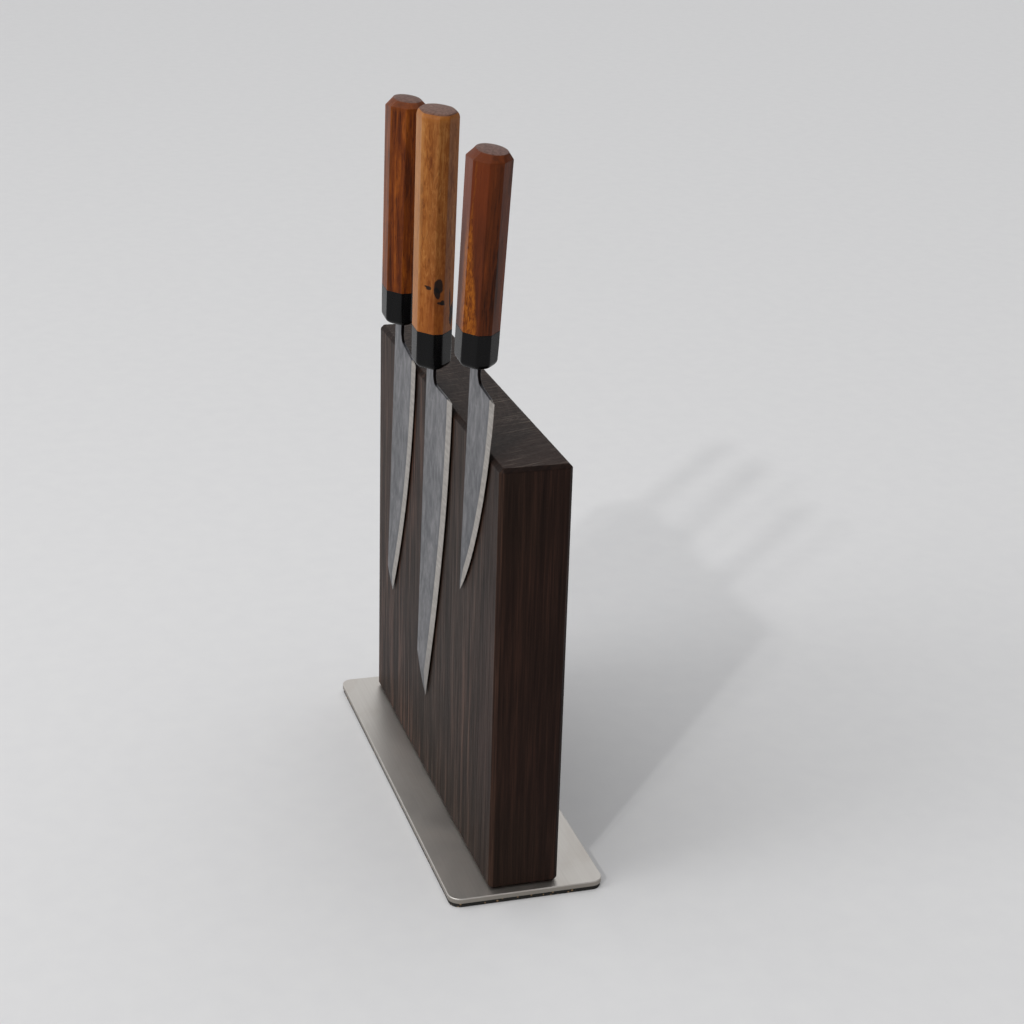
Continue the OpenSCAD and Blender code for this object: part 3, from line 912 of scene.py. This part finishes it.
def dowel_wood():
    """Plain beech for the dowels and the handle cores."""
    s = material_shader("dowel_beech")
    place = s.place()
    grain = s.grain(place, (700, 700, 700), detail=3)
    flecks = s.grain(place, (1800, 1800, 420), detail=1)
    skin = s.ramp(s.fit(grain, 0.3, 0.7), [(0, colour(196, 158, 116)), (1, colour(216, 182, 140))])
    skin = s.mix(s.fit(flecks, 0.6, 0.7, 0, 0.5), skin, colour(158, 116, 78))
    rough = s.fit(grain, 0.3, 0.7, 0.6, 0.7)
    return s.surface(Base_Color=skin, Roughness=rough, Normal=s.bump(grain, 0.0001, 0.6))


def studio_floor():
    """Matt pale paper."""
    s = material_shader("studio_paper")
    fibre = s.grain(s.place(), (60, 60, 60), detail=4)
    skin = s.ramp(s.fit(fibre, 0.3, 0.7), [(0, (0.735, 0.733, 0.738)), (1, (0.752, 0.750, 0.752))])
    return s.surface(Base_Color=skin, Roughness=0.9, IOR=1.2, Normal=s.bump(fibre, 0.0002, 0.2))


# ---------------------------------------------------------------- the object

def build_stand():
    """The board's six staves, the plate and its pad."""
    for side in SIDES:
        for spot, (pith, seed, red_from) in STAVE_WOOD.items():
            name = f"board_{side}_{spot}"
            node = f"{side}_stave_{spot}"
            looks = [board_wood(f"{name}_{face}", pith, seed, red_from, face) for face in BOARD_FACES]
            finish_mesh(name, stave_mesh(node, side, spot), "stand", looks, [node])
    plate = slab_mesh("base_plate", PLATE_R, 0.3, 0.4)
    finish_mesh("plate", plate, "stand", [plate_steel()], ["base_plate"])
    pad = slab_mesh("base_pad", PAD_R, 0.3, 0.2)
    finish_mesh("pad", pad, "stand", [cork_rubber()], ["base_pad"])


def build_knives():
    """Each knife's blade, ferrule and handle."""
    steel = blade_steel()
    black = horn()
    woods = {
        "utility": {
            "tones": [(42, 16, 5), (88, 38, 9), (113, 54, 13), (146, 78, 24)],
            "figure": 0.14, "seed": 0.31, "cap": 0.5, "marks": utility_marks,
        },
        "chef": {
            "tones": [(98, 48, 16), (138, 80, 32), (154, 95, 43), (180, 122, 64)],
            "figure": 0.42, "seed": 0.83, "cap": 1.0, "marks": chef_marks,
        },
        "petty": {
            "tones": [(44, 18, 7), (80, 36, 12), (94, 43, 15), (118, 56, 21)],
            "figure": 0.12, "seed": 1.57, "cap": 0.5, "marks": petty_marks,
        },
    }
    for name, size in KNIFE_SIZES.items():
        body = f"{name}_knife"
        finish_mesh(f"{name}_steel", blade_mesh(size), body, [steel], [f"{name}_blade"])
        finish_mesh(f"{name}_horn", ferrule_mesh(size), body, [black], [f"{name}_ferrule"])
        slot = f"{name}_handle_wood"
        wood = handle_wood(slot, size, **woods[name])
        finish_mesh(f"{name}_wood", handle_mesh(size), body, [wood], [f"{name}_handle"])


def dress_hidden_nodes():
    """Gives each CAD piece that stays, all of them inside others, its material."""
    looks = {
        "base_screws": hidden_metal("screw_steel", (186, 186, 188), 0.3, (900, 900, 900)),
        "threaded_inserts": hidden_metal("insert_brass", (206, 170, 96), 0.3, (300, 300, 1500)),
        "magnet": hidden_metal("magnet_nickel", (196, 194, 188), 0.22, (500, 500, 500)),
        "board_dowels": dowel_wood(),
    }
    for name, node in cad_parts.items():
        if node.hide_render:
            continue
        key = "magnet" if "magnet" in name else "board_dowels" if "core" in name else name
        for slot in node.material_slots:
            slot.material = looks[key]


# ---------------------------------------------------------------- the studio

def direction(azimuth, elevation):
    """The unit vector towards an azimuth and an elevation, in degrees."""
    around, up = math.radians(azimuth), math.radians(elevation)
    return Vector((math.cos(around) * math.cos(up), math.sin(around) * math.cos(up), math.sin(up)))


def build_floor():
    """A wide round floor at the height of the pad's underside."""
    turns = [2 * math.pi * i / FLOOR_STEPS for i in range(FLOOR_STEPS)]
    points = [(0, 0, 0)]
    points += [(r * math.cos(turn), r * math.sin(turn), 0) for r in FLOOR_RINGS for turn in turns]
    faces = [(0, 1 + i, 1 + (i + 1) % FLOOR_STEPS) for i in range(FLOOR_STEPS)]
    for k in range(len(FLOOR_RINGS) - 1):
        for i in range(FLOOR_STEPS):
            a = 1 + k * FLOOR_STEPS + i
            b = 1 + k * FLOOR_STEPS + (i + 1) % FLOOR_STEPS
            faces.append((a, a + FLOOR_STEPS, b + FLOOR_STEPS, b))
    mesh = bpy.data.meshes.new("floor")
    mesh.from_pydata(points, [], faces)
    mesh.materials.append(studio_floor())
    floor = bpy.data.objects.new("floor", mesh)
    bpy.context.scene.collection.objects.link(floor)


def build_sky():
    """A plain sky, brighter overhead and on one side."""
    sky = bpy.data.worlds.new("studio")
    bpy.context.scene.world = sky
    s = Shader(sky)
    view = s.node("ShaderNodeTexCoord", {}).outputs["Generated"]

    def facing(towards, span, levels):
        """From one level to another as the view turns to a direction."""
        along = s.node("ShaderNodeVectorMath", {0: view, 1: towards}, operation="DOT_PRODUCT")
        return s.fit(along.outputs["Value"], *span, *levels, smooth=True)

    low = facing(SKY_BRIGHT_SIDE, SKY_SIDE_RANGE, SKY_LOW)
    high = facing(SKY_BRIGHT_SIDE, SKY_SIDE_RANGE, SKY_HIGH)
    overhead = facing((0, 0, 1), SKY_RISE, (0, 1))
    strength = s.node("ShaderNodeMix", {0: overhead, 2: low, 3: high}).outputs[0]
    light = s.node("ShaderNodeBackground", {"Color": SKY_COLOUR, "Strength": strength})
    s.node("ShaderNodeOutputWorld", {"Surface": light.outputs[0]})


def add_lamp(name, light, place):
    """Puts a light in its place, turned to the middle of the floor."""
    lamp = bpy.data.objects.new(name, light)
    lamp.location = place
    lamp.rotation_euler = place.to_track_quat("Z", "Y").to_euler()
    bpy.context.scene.collection.objects.link(lamp)


def build_lights():
    """Two small far lamps side by side, and a soft panel."""
    for name, (towards, strength) in LAMPS.items():
        sun = bpy.data.lights.new(name, "SUN")
        sun.angle = math.radians(LAMP_WIDTH)
        sun.energy = strength
        sun.color = LAMP_COLOUR
        add_lamp(name, sun, direction(*towards) * 2)
    panel = bpy.data.lights.new("side", "AREA")
    panel.shape = "DISK"
    panel.size = PANEL_WIDTH
    panel.energy = PANEL_POWER
    add_lamp("side", panel, Vector(PANEL_PLACE))


def build_camera():
    """The photographer's place, with the lens and direction found from the object's own straight edges."""
    azimuth, elevation, roll = CAMERA_TURN
    roll = math.radians(roll)
    back = direction(azimuth, elevation)
    side = (-back).cross(Vector((0, 0, 1))).normalized()
    up = side.cross(-back)
    right = side * math.cos(roll) + up * math.sin(roll)
    top = up * math.cos(roll) - side * math.sin(roll)
    lens = bpy.data.cameras.new("camera")
    lens.sensor_width = CAMERA_SENSOR
    lens.lens = CAMERA_LENS
    lens.clip_end = CAMERA_CLIP_END
    camera = bpy.data.objects.new("camera", lens)
    turn = Matrix((right, top, back)).transposed().to_4x4()
    camera.matrix_world = Matrix.Translation(CAMERA_PLACE) @ turn
    bpy.context.scene.collection.objects.link(camera)
    bpy.context.scene.camera = camera


build_camera()
build_stand()
build_knives()
dress_hidden_nodes()
build_floor()
build_sky()
build_lights()
# Colours are shown as they are, with no film curve.
bpy.context.scene.view_settings.view_transform = "Standard"
